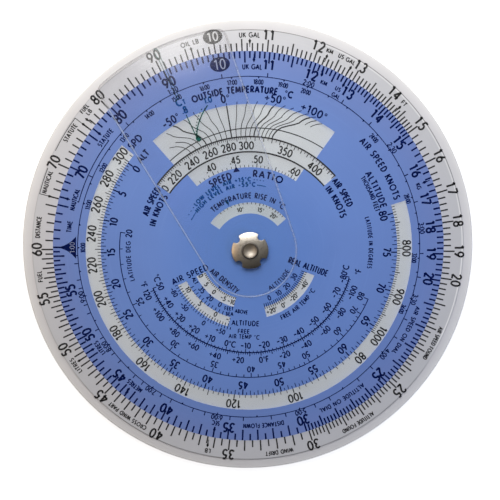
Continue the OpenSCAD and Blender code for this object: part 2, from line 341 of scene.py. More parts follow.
def polar(r, deg):
    # Clock angle and radius to x and y
    a = np.radians(deg)
    return np.stack(np.broadcast_arrays(r * np.sin(a), r * np.cos(a)), -1)


def addPiece(name, verts, faces, body, finish, smoothDeg=None):
    # Millimetres become metres; the piece rides on its body and is smooth up to an angle, if one is given
    mesh = bpy.data.meshes.new(name)
    mesh.from_pydata((np.asarray(verts) * mm).tolist(), [], faces)
    mesh.materials.append(finishes[finish])
    if smoothDeg is not None:
        mesh.shade_smooth()
        mesh.set_sharp_from_angle(angle=np.radians(smoothDeg))
    piece = bpy.data.objects.new(name, mesh)
    scene.collection.objects.link(piece)
    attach(piece, body)
    return piece


def outwards(verts, quads):
    # The volume under all the faces is positive when they point outwards; if not, they are turned
    a, b, c, d = (verts[quads[:, i]] for i in range(4))
    volume = np.einsum("ij,ij->i", a, np.cross(b, c) + np.cross(c, d)).sum()
    return quads if volume > 0 else quads[:, ::-1]


def ringGrid(rows):
    # Closed rows of points, one inside the next, joined into one closed skin: the last row meets the first
    count = rows.shape[1]
    index = np.arange(rows.shape[0] * count).reshape(-1, count)
    under, beside = np.roll(index, -1, 0), np.roll(index, -1, 1)
    quads = np.stack([index, beside, np.roll(under, -1, 1), under], -1).reshape(-1, 4)
    verts = rows.reshape(-1, 3)
    return verts, outwards(verts, quads)


def revolve(profile, count):
    # Each point of a closed outline (radius, height) carried once round the hub axis
    profile = np.asarray(profile, float)
    flat = polar(profile[:, :1], np.linspace(0, 360, count, endpoint=False)[None])
    return ringGrid(np.concatenate([flat, np.broadcast_to(profile[:, 1:, None], flat.shape[:2] + (1,))], -1))


# White core with a soft, rolled rim: straight bevel, then half a circle
rim = {"radius": 76.2, "bevelAt": 72.95, "hole": 3.02, "low": 3.18, "high": 4.38, "edge": 0.4,
       "kneeIn": 0.05, "kneeOut": 0.15, "kneeDrop": 0.01}  # the knee softens the start of the bevel
middle = (rim["low"] + rim["high"]) / 2
bend = np.radians(np.linspace(-86, 86, 15))
rimRound = np.stack([rim["radius"] - rim["edge"] * (1 - np.cos(bend)),
                     middle + rim["edge"] * np.sin(bend)], -1)
kneeIn, kneeOut = rim["bevelAt"] - rim["kneeIn"], rim["bevelAt"] + rim["kneeOut"]
coreProfile = np.concatenate([
    [[rim["hole"], rim["low"]], [kneeIn, rim["low"]], [kneeOut, rim["low"] + rim["kneeDrop"]]],
    rimRound,
    [[kneeOut, rim["high"] - rim["kneeDrop"]], [kneeIn, rim["high"]], [rim["hole"], rim["high"]]]])
coreVerts, coreQuads = revolve(coreProfile, 300)
core = addPiece("rim_and_core", coreVerts, coreQuads.tolist(), "base", "whiteVinyl", 40)
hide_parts("base_core")

# Dished washers with four petals: the rim radius dips where a round notch cuts in, the height falls off
# with a power of the distance past the flat middle, and both rims are rolled over a little
spring = {"hole": 2.02, "flat": 2.3, "reach": 6.2, "thick": 0.3, "notch": 1.25, "notchAt": 6.0, "turn": -6,
          "power": 1.7, "clear": 0.02, "innerRoll": [0.05, 0.02], "outerRoll": [0.03, 0.09],
          "front": {"base": 6.56, "height": 1.1, "side": 1}, "rear": {"base": 1.4, "height": 0.8, "side": -1}}


def springWasher(name, node, seat):
    turn = np.linspace(0, 360, 432, endpoint=False)
    away = np.radians((turn - spring["turn"]) % 90 - 45)
    inside = spring["notch"] ** 2 - (spring["notchAt"] * np.sin(away)) ** 2
    cutIn = spring["notchAt"] * np.cos(away) - np.sqrt(np.maximum(inside, 0))
    edge = np.where(inside > 0, np.minimum(cutIn, spring["reach"]), spring["reach"])
    part = np.concatenate([np.linspace(0, 0.94, 16), [0.975, 1.0]])[:, None]
    r = spring["hole"] + (edge - spring["hole"]) * part
    fall = seat["height"] - spring["thick"] - spring["clear"]
    past = np.maximum(r - spring["flat"], 0) / (spring["reach"] - spring["flat"])
    high = seat["height"] - fall * past ** spring["power"]
    roll = np.concatenate([spring["innerRoll"], np.zeros(14), spring["outerRoll"]])[:, None]
    flat = polar(r, turn[None])
    top = np.concatenate([flat, (high - roll)[..., None]], -1)
    under = np.concatenate([flat, (high - spring["thick"] + roll)[..., None]], -1)[::-1]
    rows = np.concatenate([top, under])
    rows[..., 2] = seat["base"] + seat["side"] * rows[..., 2]
    verts, quads = ringGrid(rows)
    piece = addPiece(name, verts, quads.tolist(), "base", "nickel", 50)
    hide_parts(node)


springWasher("petal_washer_front", "front_spring_washer", spring["front"])
springWasher("petal_washer_rear", "rear_spring_washer", spring["rear"])

# Clear cursor: a round hub end, two sides tangent to it, rounded corners and an end that is an arc
# about the hub; the top edge has a chamfer between two fine lips
pointer = {"hub": 16.0, "end": 73.4, "flare": 6.0, "corner": 3.0, "deg": -25.1, "low": 5.66, "high": 6.56,
           "chamfer": 0.66, "lip": 0.13, "hole": 3.05, "wallDown": 0.4, "lipDown": 0.3}
square = 90 + pointer["flare"]
cornerReach = pointer["end"] - pointer["corner"]
cornerDeg = square - np.degrees(np.arccos((pointer["hub"] - pointer["corner"]) / cornerReach))
endArc = polar(pointer["end"], np.linspace(0, 0.96 * cornerDeg, 20))
cornerArc = polar(cornerReach, cornerDeg) + polar(pointer["corner"], np.linspace(cornerDeg, square, 14))
sideLine = cornerArc[-1] + (polar(pointer["hub"], square) - cornerArc[-1]) * np.linspace(0.1, 0.9, 9)[:, None]
hubArc = polar(pointer["hub"], np.linspace(square, 180, 48))
half = np.concatenate([endArc, cornerArc, sideLine, hubArc])
outline = np.concatenate([half, (half * [-1, 1])[-2:0:-1]])
lean = np.radians(-pointer["deg"])
outline = outline @ np.array([[np.cos(lean), np.sin(lean)], [-np.sin(lean), np.cos(lean)]])
run = np.roll(outline, -1, 0) - np.roll(outline, 1, 0)
inward = np.stack([run[:, 1], -run[:, 0]], -1) / np.linalg.norm(run, axis=1)[:, None]
hole = outline / np.linalg.norm(outline, axis=1)[:, None] * pointer["hole"]
levels = [(hole, pointer["low"]), (outline, pointer["low"]),
          (outline, pointer["high"] - pointer["wallDown"]),
          (outline + inward * pointer["lip"], pointer["high"] - pointer["lipDown"]),
          (outline + inward * pointer["chamfer"], pointer["high"]),
          (outline + inward * (pointer["chamfer"] + pointer["lip"]), pointer["high"]),
          (hole, pointer["high"])]
cursorRows = np.stack([np.column_stack([flat, np.full(len(flat), z)]) for flat, z in levels])
cursorVerts, cursorQuads = ringGrid(cursorRows)
cursor = addPiece("clear_cursor", cursorVerts, cursorQuads.tolist(), "pointer",
                  "clearCursor", 20)
cursor.data.materials.append(finishes["edge"])
cursor.data.materials.append(finishes["edgeLip"])
edgeFaces = np.zeros(len(cursorQuads), dtype=np.int32)
edgeFaces[len(outline) : 5 * len(outline)] = 2  # the wall and the two lips
edgeFaces[3 * len(outline) : 4 * len(outline)] = 1  # the chamfer
cursor.data.polygons.foreach_set("material_index", edgeFaces)
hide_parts("cursor")
print("turned and cut pieces made")

# Letters as pen strokes in hundredths of the cap height, with the room each takes. Four numbers are a
# straight stroke from one end to the other, six are an arc: centre, half width, half height, first and
# last angle.
glyphs = {
    "0": (62, ((31, 50, 26, 50, 0, 360),)),
    "1": (40, ((26, 0, 26, 100), (26, 100, 6, 80))),
    "2": (58, ((28, 73, 22, 27, 165, -38), (45, 56, 5, 0), (5, 0, 53, 0))),
    "3": (58, ((27, 76, 20, 24, 155, -90), (27, 26, 24, 26, 90, -155))),
    "4": (62, ((42, 100, 3, 26), (3, 26, 58, 26), (42, 100, 42, 0))),
    "5": (58, ((48, 100, 16, 100), (16, 100, 10, 55), (26, 31, 25, 31, 130, -145))),
    "6": (60, ((30, 30, 25, 30, 0, 360), (7, 42, 40, 100))),
    "7": (56, ((4, 100, 52, 100), (52, 100, 18, 0))),
    "8": (60, ((30, 76, 20, 24, 0, 360), (30, 26, 25, 26, 0, 360))),
    "9": (60, ((30, 70, 25, 30, 0, 360), (53, 58, 20, 0))),
    "A": (70, ((2, 0, 35, 100), (35, 100, 68, 0), (14, 34, 56, 34))),
    "B": (56, ((8, 0, 8, 100), (8, 100, 27, 100), (8, 53, 29, 53), (8, 0, 29, 0),
               (27, 76.5, 19, 23.5, 90, -90), (29, 26.5, 23, 26.5, 90, -90))),
    "C": (72, ((46, 50, 41, 50, 50, 310),)),
    "D": (68, ((8, 0, 8, 100), (8, 100, 22, 100), (8, 0, 22, 0), (22, 50, 42, 50, 90, -90))),
    "E": (50, ((8, 0, 8, 100), (8, 100, 47, 100), (8, 52, 45, 52), (8, 0, 47, 0))),
    "F": (48, ((8, 0, 8, 100), (8, 100, 46, 100), (8, 50, 42, 50))),
    "G": (84, ((46, 50, 41, 50, 50, 352), (50, 45, 86, 45))),
    "H": (66, ((8, 0, 8, 100), (58, 0, 58, 100), (8, 52, 58, 52))),
    "I": (18, ((9, 0, 9, 100),)),
    "K": (58, ((8, 0, 8, 100), (53, 100, 8, 42), (22, 60, 58, 0))),
    "L": (44, ((8, 0, 8, 100), (8, 0, 43, 0))),
    "M": (82, ((5, 0, 13, 100), (13, 100, 41, 12), (41, 12, 69, 100), (69, 100, 77, 0))),
    "N": (68, ((8, 0, 8, 100), (8, 100, 60, 0), (60, 0, 60, 100))),
    "O": (94, ((47, 50, 42, 50, 0, 360),)),
    "P": (50, ((8, 0, 8, 100), (8, 100, 25, 100), (8, 44, 25, 44), (25, 72, 23, 28, 90, -90))),
    "R": (54, ((8, 0, 8, 100), (8, 100, 25, 100), (8, 46, 25, 46), (25, 73, 22, 27, 90, -90),
               (24, 46, 52, 0))),
    "S": (52, ((27, 76, 18, 24, 45, 270), (27, 26, 21, 26, 90, -145))),
    "T": (50, ((0, 100, 50, 100), (25, 0, 25, 100))),
    "U": (64, ((8, 100, 8, 30), (56, 30, 56, 100), (32, 30, 24, 30, 180, 360))),
    "V": (62, ((1, 100, 31, 0), (31, 0, 61, 100))),
    "W": (96, ((2, 100, 25, 0), (25, 0, 48, 100), (48, 100, 71, 0), (71, 0, 94, 100))),
    "Y": (58, ((1, 100, 29, 45), (57, 100, 29, 45), (29, 45, 29, 0))),
    " ": (32, ()),
    ".": (16, ((8, 0, 8, 16),)),
    ":": (18, ((9, 10, 9, 26), (9, 60, 9, 76))),
    "°": (36, ((18, 84, 13, 15, 0, 360),)),
    "+": (66, ((3, 46, 63, 46), (33, 16, 33, 76))),
    "-": (52, ((3, 44, 49, 44),)),
}
finePen = {"°": 0.5, "+": 0.75}  # signs drawn finer


def setLine(text, gap):
    # Glyphs side by side, as straight strokes of two points and arcs of eleven with their share of the pen,
    # and the whole length
    rows, x = {}, 0.0
    for sign in text:
        advance, strokes = glyphs[sign]
        for s in strokes:
            x0, y0, x1, y1 = (v / 100 for v in s[:4])
            stroke = [[x + x0, y0], [x + x1, y1]]
            if len(s) == 6:
                a = np.radians(np.linspace(s[4], s[5], 11))
                stroke = np.stack([x + x0 + x1 * np.cos(a), y0 + y1 * np.sin(a)], -1)
            rows.setdefault((len(stroke), finePen.get(sign, 1)), []).append(stroke)
        x += advance / 100 + gap
    return [(np.array(lines), share) for (count, share), lines in rows.items()], x - gap


def draw(layer, points, width):
    # Keeps centre lines of shape (lines, points, 2) with their widths, grouped by how many points they have
    points = np.asarray(points, float)
    points = points[None] if points.ndim == 2 else points
    layer["lines"].setdefault(points.shape[1], []).append((points, np.full(len(points), width)))


def stamp(layer, outline):
    # A filled shape that its own middle can see all of
    layer["fills"].append(np.asarray(outline, float))


def write(layer, text, r, deg, size, pen, facing=1, gap=0.13, span=None):
    # Letters bent round the hub: along the line is angle, up the letter is radius. Facing 1 has the tops
    # outwards, facing -1 towards the hub; r is where the letters stand, span the length they are set to.
    groups, length = setLine(text, gap)
    wide = span / length if span else size
    for g, share in groups:
        around = deg + facing * np.degrees((g[..., 0] - length / 2) * wide / (r + facing * size / 2))
        draw(layer, polar(r + facing * size * g[..., 1], around), pen * share)


def writeStraight(layer, text, r, deg, turn, size, pen, span, gap=0.2):
    # A straight line of letters about the point (r, deg), turned clockwise from level, span long
    groups, length = setLine(text, gap)
    c, s = np.cos(np.radians(turn)), np.sin(np.radians(turn))
    for g, share in groups:
        flat = (g - [length / 2, 0.5]) * [span / length, size]
        draw(layer, polar(r, deg) + flat @ np.array([[c, -s], [s, c]]), pen * share)


def ticks(layer, degs, inner, outer, pen):
    # Radial strokes at many angles at once
    inner, outer, degs = np.broadcast_arrays(inner, outer, np.atleast_1d(degs))
    draw(layer, np.stack([polar(inner, degs), polar(outer, degs)], 1), pen)


def ring(layer, r, first, last, pen):
    # Part of a circle about the hub, one point to every two degrees
    draw(layer, polar(r, np.linspace(first, last, int(abs(last - first) / 2) + 2)), pen)


def placed(shape, r, deg):
    # Points (across, outwards) moved to radius r and turned to an angle
    across, out = np.asarray(shape, float).T
    a = np.radians(deg)
    return np.stack([(r + out) * np.sin(a) + across * np.cos(a),
                     (r + out) * np.cos(a) - across * np.sin(a)], -1)


def blankLayer():
    # Lines, kept by how many points they have, and filled shapes
    return {"lines": {}, "fills": []}


def printLayer(name, layer, bottom, top, body, finish, rear):
    # Ink with a real thickness. A line's section has four corners, half a width to each side at two heights;
    # a filled shape is a short prism with a fan on its top and bottom. Rear print is turned over.
    verts, faces, count = [], [], 0
    flip = np.array([-1.0 if rear else 1.0, 1.0, 1.0])
    for size, groups in layer["lines"].items():
        points = np.concatenate([p for p, w in groups])
        width = np.concatenate([w for p, w in groups])[:, None, None]
        along = np.gradient(points, axis=1)
        along = along / np.linalg.norm(along, axis=-1, keepdims=True)
        side = np.stack([-along[..., 1], along[..., 0]], -1) * width / 2
        edge = np.stack([points - side, points + side, points + side, points - side], 2)
        level = np.broadcast_to(np.array([bottom, bottom, top, top])[:, None], edge.shape[:3] + (1,))
        corner = np.concatenate([edge, level], -1) * flip
        first = np.arange(len(points))[:, None, None] * size * 4
        j = np.arange(size - 1)[:, None] * 4
        k = np.arange(4)[None]
        wall = np.stack([j + k, j + (k + 1) % 4, j + 4 + (k + 1) % 4, j + 4 + k], -1).reshape(1, -1, 4)
        last = (size - 1) * 4
        caps = np.array([[[3, 2, 1, 0], [last, last + 1, last + 2, last + 3]]])
        quads = (first + np.concatenate([wall, caps], 1)).reshape(-1, 4)
        flatVerts = corner.reshape(-1, 3)
        verts.append(flatVerts)
        faces += (outwards(flatVerts, quads) + count).tolist()
        count += len(flatVerts)
    for outline in layer["fills"]:
        n = len(outline)
        border = np.concatenate([outline, outline.mean(0)[None]])
        solid = np.concatenate([np.column_stack([border, np.full(n + 1, z)]) for z in (bottom, top)]) * flip
        i = np.arange(n)
        nxt = (i + 1) % n
        ahead = np.roll(outline, -1, 0)
        area = (outline[:, 0] * ahead[:, 1] - outline[:, 1] * ahead[:, 0]).sum() * flip[0]
        tops = np.stack([i + n + 1, nxt + n + 1, np.full(n, 2 * n + 1)], -1)
        lows = np.stack([nxt, i, np.full(n, n)], -1)
        walls = np.stack([i, nxt, nxt + n + 1, i + n + 1], -1)
        way = 1 if area > 0 else -1
        verts.append(solid)
        faces += [f[::way] for part in (tops, lows, walls) for f in (part + count).tolist()]
        count += len(solid)
    return addPiece(name, np.concatenate(verts), faces, body, finish)


def logDeg(value, zero):
    # Angle on a scale that goes once round for each tenfold, with ten at zero
    return zero + 360 * np.log10(np.asarray(value, float) / 10)


ellipse = polar(1, np.linspace(90, -270, 40, endpoint=False))
wholeNumbers = [*range(11, 21), *range(25, 61, 5), 70, 80, 90]


def pointMark(layer, deg, tip, back, wide):
    # A small solid arrow head on its stroke
    stamp(layer, placed([[0, tip - back], [wide, 0], [0, (back - tip) * 0.45], [-wide, 0]], back, deg))


def numbers(layer, row, figures):
    # Figures at their own angles: pairs of what is written and where
    for number, deg in row:
        write(layer, str(number), deg=deg, **figures)


def writeRows(layer, rows, facing=1):
    # Words round the hub: text, radius, angle, size, pen, gap, length
    for text, r, deg, size, pen, gap, span in rows:
        write(layer, text, r, deg, size, pen, facing, gap, span)


def strokes(layer, rows, degOf=np.asarray):
    # Rows of radial strokes, each from one value up to another by a step: then inner and outer radius, pen
    for first, last, step, inner, outer, pen in rows:
        ticks(layer, degOf(np.arange(first, last, step)), inner, outer, pen)


def scaleRing(layer, scale, degOf, label=str):
    # One scale: figures at its main values and rows of strokes, placed by its own law
    numbers(layer, [(label(value), degOf(value)) for value in scale["values"]], scale["figures"])
    strokes(layer, scale["strokes"], degOf)


def logRing(layer, upper, scale):
    # One log scale: its figures, the ten in white on an oval, unit marks with their stems, and words
    zero, oval = scale["zero"], scale["oval"]
    for number in wholeNumbers:
        if number != scale["bare"]:
            gap = scale["teenGap"] if number < 20 else scale["gap"]
            write(layer, str(number), deg=logDeg(number, zero), gap=gap, **scale["figures"])
    stamp(layer, placed(ellipse * oval["half"], oval["at"], zero))
    write(upper, "10", deg=zero, **scale["ten"])
    for deg in logDeg(scale["marks"], zero):
        pointMark(layer, deg, **scale["arrow"])
        ticks(layer, deg, **scale["stem"])
    for word, deg, span, size in scale["words"]:
        write(layer, word, scale["label"] - size / 2, deg, size, scale["labelPen"], gap=scale["wordGap"],
              span=span)


# Fixed outer ring. Words are text, angle, length and size. Two words stand one above the other and are set
# as rows. The bracket joins the marks of nautical and statute miles.
outerRing = {
    "zero": -9.84, "figures": {"r": 69.85, "size": 3.1, "pen": 0.64}, "gap": 0.16, "teenGap": 0.3,
    "bare": None, "oval": {"at": 71.5, "half": [3.23, 2.34]},
    "ten": {"r": 70.1, "size": 2.9, "pen": 0.46, "gap": 0.2, "span": 3.5},
    "marks": [10.65, 12.23, 12.81, 14.33, 36.4, 48.5, 66, 76, 76.8, 96],
    "arrow": {"tip": 67.9, "back": 69.3, "wide": 0.46}, "stem": {"inner": 67.2, "outer": 69.9, "pen": 0.24},
    "label": 71.15, "labelPen": 0.33, "wordGap": 0.17,
    "words": [("UK GAL", -0.1, 6.8, 1.5), ("KM", 21.9, 2.2, 1.25), ("US GAL", 26.9, 6.0, 1.25),
              ("FT", 46.4, 1.9, 1.3), ("AIR SPEED FOUND", 117.2, 12.4, 1.35),
              ("ALTITUDE FOUND", 148.0, 12.4, 1.35), ("WIND DRIFT", 171.7, 9.6, 1.35),
              ("LB", 191.8, 2.0, 1.35), ("CROSS WIND PART", 216.3, 15.2, 1.35), ("LITRES", 236.4, 5.6, 1.4),
              ("FUEL", 262.9, 3.7, 1.4), ("DISTANCE", 276.3, 7.1, 1.4), ("NAUTICAL", 288.75, 7.6, 1.4),
              ("STATUTE", 303.3, 6.6, 1.4), ("OIL LB", 343.8, 6.0, 1.4)],
    "rows": [("FUEL", 71.425, 310.7, 1.25, 0.33, 0.17, 3.4), ("LB", 69.6, 310.8, 1.25, 0.3, 0.17, 1.9)],
    "bracket": {"at": 72.5, "foot": 70.0, "pen": 0.22, "ends": [66, 76], "spans": [(66, 69.1), (71.3, 76)]}}
black, blackUpper = blankLayer(), blankLayer()
logRing(black, blackUpper, outerRing)
writeRows(black, outerRing["rows"])
bracket = outerRing["bracket"]
for span in bracket["spans"]:
    ring(black, bracket["at"], *logDeg(span, outerRing["zero"]), bracket["pen"])
ticks(black, logDeg(bracket["ends"], outerRing["zero"]), bracket["foot"],
      bracket["at"] + bracket["pen"] / 2, bracket["pen"])

# Curved temperature lines: each runs from one angle on the lower arc to another on the upper one. Sway is
# how much of the turn is done after each tenth of the way: slow, fast, slow again and a last flick. Parts
# are lines that run only some of the way. One more curve crosses them and draws away from the hub.
heat = {"low": 38.0, "high": 48.75, "every": 10, "pen": 0.25, "heavy": 0.42,
        "sway": [0, 0.02, 0.07, 0.14, 0.25, 0.43, 0.61, 0.74, 0.8, 0.88, 1.0],
        "parts": [(-60, 0, 0.91), (-70, 0, 0.52), (-80, 0, 0.5), (110, 0.72, 1.0), (120, 0.73, 1.0)],
        "crossing": {"reach": 70, "at": 40.82, "slope": 0.0275, "bend": 0.00016, "pen": 0.32}}
heatLow = lambda t: -9.1 + 0.243 * t - 0.0004 * t * t
heatHigh = lambda t: -9.1 + 0.4106 * t - 0.00083 * t * t + 1e-6 * np.maximum(t, 0) ** 3


def heatLine(t, first, last):
    # The radius grows evenly along the line, the angle goes from the lower arc's to the upper one's by sway
    s = np.linspace(first, last, 21)
    turned = np.interp(s, np.linspace(0, 1, 11), heat["sway"])
    return polar(heat["low"] + (heat["high"] - heat["low"]) * s,
                 heatLow(t) + (heatHigh(t) - heatLow(t)) * turned)


for t, first, last in [(t, 0, 1) for t in range(-50, 101, heat["every"])] + heat["parts"]:
    draw(black, heatLine(t, first, last), heat["heavy"] if t % 50 == 0 else heat["pen"])
crossing = heat["crossing"]
swing = np.linspace(-crossing["reach"], crossing["reach"], 60)
draw(black, polar(crossing["at"] + crossing["slope"] * swing + crossing["bend"] * swing**2, swing),
     crossing["pen"])

# Scales of the base that show in the windows: true speed, speed ratio and the ring of air speeds. Each
# follows a log law, the first in two spans and the last in three that meet.
speedDeg = lambda v: np.where(np.less(v, 220), -45.4 + 270 * np.log10(np.divide(v, 220)),
                              -1.9 + 324 * np.log10(np.divide(v, 300)))
ratioDeg = lambda m: -25.5 + 312.6 * np.log10(np.asarray(m, float) / 0.40)


def airDeg(v):
    # Slow speeds follow a log law that opens out a little, fast ones are past twelve o'clock again
    v = np.asarray(v, float)
    slow = 134.5 + 290 * np.log10(v / 80) + 6.3e-5 * (v * v - 6400)
    fast = 89.5 + 355 * np.log10(v / 800) + 360
    mid = 306.2 + (432.3 - 306.2) * np.log10(v / 300) / np.log10(715 / 300)
    return np.where(v <= 300, slow, np.where(v < 715, mid, fast))


speedScale = {"values": [*range(160, 300, 20), *range(300, 651, 50)],
              "figures": {"r": 33.85, "size": 2.4, "pen": 0.48, "gap": 0.12},
              "strokes": [(160, 300, 2, 37.1, 37.9, 0.2), (160, 300, 10, 36.5, 37.9, 0.26),
                          (300, 651, 5, 37.1, 37.9, 0.2), (300, 651, 10, 36.5, 37.9, 0.26)]}
ratioScale = {"values": [0.30, 0.35, 0.40, 0.45, 0.50, 0.60, 0.70, 0.80],
              "figures": {"r": 29.4, "size": 2.25, "pen": 0.46, "gap": 0.12},
              "strokes": [(0.28, 0.86, 0.01, 27.85, 28.6, 0.22), (0.30, 0.86, 0.05, 27.85, 29.2, 0.28)]}
airScale = {"values": [*range(80, 301, 20), *range(350, 501, 50), *range(600, 1001, 100)],
            "figures": {"r": 52.05, "size": 2.65, "pen": 0.5, "gap": 0.12},
            "strokes": [(80, 300, 2, 49.9, 51.15, 0.22), (90, 300, 20, 49.9, 52.0, 0.24),
                        (80, 300, 20, 49.9, 51.75, 0.34), (300, 1001, 5, 49.9, 51.15, 0.22),
                        (300, 1001, 50, 49.9, 51.8, 0.3)]}
scaleRing(black, speedScale, speedDeg)
scaleRing(black, ratioScale, ratioDeg, lambda m: f"{m:.2f}"[1:])
scaleRing(black, airScale, airDeg)

# Rise scale, and what shows in the three small lower windows, where the figures have their tops to the hub
riseDeg = lambda v: np.interp(v, [5, 10, 15, 20, 25], [-38.2, -13.5, 12.4, 33.5, 51.0])
baseWindows = {
    "rise": ([("10°", -13.0), ("15°", 15.3), ("20°", 35.3)], {"r": 13.3, "size": 1.35, "pen": 0.32}),
    "airTemperature": ([("+20°", 160.1), ("0°", 148.3), ("-20°", 136.9), ("-40°", 122.7)],
                       {"r": 22.85, "size": 1.5, "pen": 0.34, "facing": -1, "gap": 0.1}),
    "altitude": ([(15, 248.0), (10, 237.3), (5, 222.8), (0, 208.0), (-5, 196.5)],
                 {"r": 25.6, "size": 1.6, "pen": 0.34, "facing": -1}),
    "density": ([(0, 242.3), (5, 231.6), (0, 220.4), (-5, 208.8), (-10, 199.4)],
                {"r": 19.45, "size": 1.5, "pen": 0.34, "facing": -1})}
for row, figures in baseWindows.values():
    numbers(black, row, figures)
strokes(black, [(4, 24, 1, 15.5, 16.2, 0.24), (10, 21, 5, 15.2, 16.2, 0.28)], riseDeg)
strokes(black, [(112, 166.5, 2.05, 19.9, 20.9, 0.26), (194, 250, 2.1, 26.1, 27.1, 0.26),
                (194, 250, 2.9, 23.4, 24.0, 0.24), (194, 250, 2.3, 16.6, 17.5, 0.26)])
print("base print drawn")

# Ring on the blue face, laid out like the outer one. Its sixty is left to the hour index.
innerRing = {
    "zero": -9.12, "figures": {"r": 60.1, "size": 3.0, "pen": 0.68}, "gap": 0.16, "teenGap": 0.32,
    "bare": 60, "oval": {"at": 62.2, "half": [3.3, 2.4]},
    "ten": {"r": 60.6, "size": 3.2, "pen": 0.4, "gap": 0.2, "span": 3.7},
    "marks": [10.684, 12.22, 12.8, 16.46, 36, 43.6, 48.5, 66, 76],
    "arrow": {"tip": 64.4, "back": 62.9, "wide": 0.5}, "stem": {"inner": 62.2, "outer": 64.9, "pen": 0.26},
    "label": 60.7, "labelPen": 0.36, "wordGap": 0.17,
    "words": [("UK GAL", 0.7, 6.4, 1.5), ("KM", 23.8, 2.2, 1.25), ("KG", 69.3, 2.0, 1.3),
              ("AIR SPEED ON DIAL", 117.3, 18.0, 1.4), ("ALTITUDE ON DIAL", 148.2, 17.6, 1.4),
              ("DISTANCE FLOWN", 175.5, 14.0, 1.4), ("SEC", 191.1, 2.6, 1.4), ("METRES", 220.3, 5.8, 1.45),
              ("LITRES", 237.0, 5.0, 1.45), ("TIME", 277.6, 3.7, 1.5), ("NAUTICAL", 286.3, 7.2, 1.45),
              ("STATUTE", 308.1, 6.8, 1.45)],
    "rows": [("US", 60.4, 28.6, 1.25, 0.32, 0.17, 1.9), ("GAL", 58.1, 29.0, 1.25, 0.32, 0.17, 2.8)],
    "bracket": {"at": 59.2, "pen": 0.3, "ends": [66, 76],
                "foot": {"inner": 59.05, "outer": 59.75, "pen": 0.34}}}
navy, navyUpper = blankLayer(), blankLayer()
logRing(navy, navyUpper, innerRing)
writeRows(navy, innerRing["rows"])
bracket = innerRing["bracket"]
bracketDeg = logDeg(bracket["ends"], innerRing["zero"])
ring(navy, bracket["at"], *bracketDeg, bracket["pen"])
ticks(navy, bracketDeg, **bracket["foot"])

# The hour index is a triangle with slightly hollow sides, and a fine line from its tip to the edge
hourIndex = {"tip": [0.0, 64.0], "foot": [3.75, 58.1], "hollow": [-0.5, -0.32],
             "line": {"inner": 62.6, "outer": 65.7, "pen": 0.36},
             "figures": {"r": 58.6, "size": 1.6, "pen": 0.16}}
indexDeg = logDeg(60, innerRing["zero"])
side = np.linspace(0, 1, 12)[:, None]
tip, foot = np.array(hourIndex["tip"]), np.array(hourIndex["foot"])
hollow = tip + (foot - tip) * side + np.sin(np.pi * side) * hourIndex["hollow"]
stamp(navy, placed(np.concatenate([hollow, (hollow * [-1, 1])[-1:0:-1]]), 0, indexDeg))
ticks(navy, indexDeg, **hourIndex["line"])
write(navyUpper, "1:00", deg=indexDeg, **hourIndex["figures"])

# Hours: minutes read round the same log scale, short ones above their circle and long ones below, with
# small points from four hours on and strokes at the tens of minutes between half hours
hours = {"circle": 57.6, "circlePen": 0.27, "short": [1.5, 2, 2.5, 3, 3.5, *range(4, 10)],
         "above": {"r": 57.85, "size": 1.6, "pen": 0.36, "gap": 0.12},
         "long": [*range(10, 21), 24, 28, 32, 36],
         "below": {"r": 55.1, "size": 1.5, "pen": 0.32, "gap": 0.09, "span": 3.2},
         "points": [*range(10, 37), *np.arange(10.5, 15), *np.arange(4, 10, 0.5)],
         "point": [[-0.46, 0.14], [0.46, 0.14], [0, -0.72]],
         "tens": [(70, 600, 30, 57.6, 58.95, 0.34), (80, 600, 30, 57.6, 58.95, 0.34)]}
minuteDeg = lambda minutes: logDeg(minutes, innerRing["zero"])
hourDeg = lambda h: minuteDeg(np.asarray(h, float) * 60)
ring(navy, hours["circle"], 0, 360, hours["circlePen"])
numbers(navy, [(f"{int(h)}:{'30' if h % 1 else '00'}", hourDeg(h)) for h in hours["short"]], hours["above"])
numbers(navy, [(f"{h}:00", hourDeg(h)) for h in hours["long"]], hours["below"])
for deg in hourDeg(hours["points"]):
    stamp(navy, placed(hours["point"], hours["circle"], deg))
strokes(navy, hours["tens"], minuteDeg)

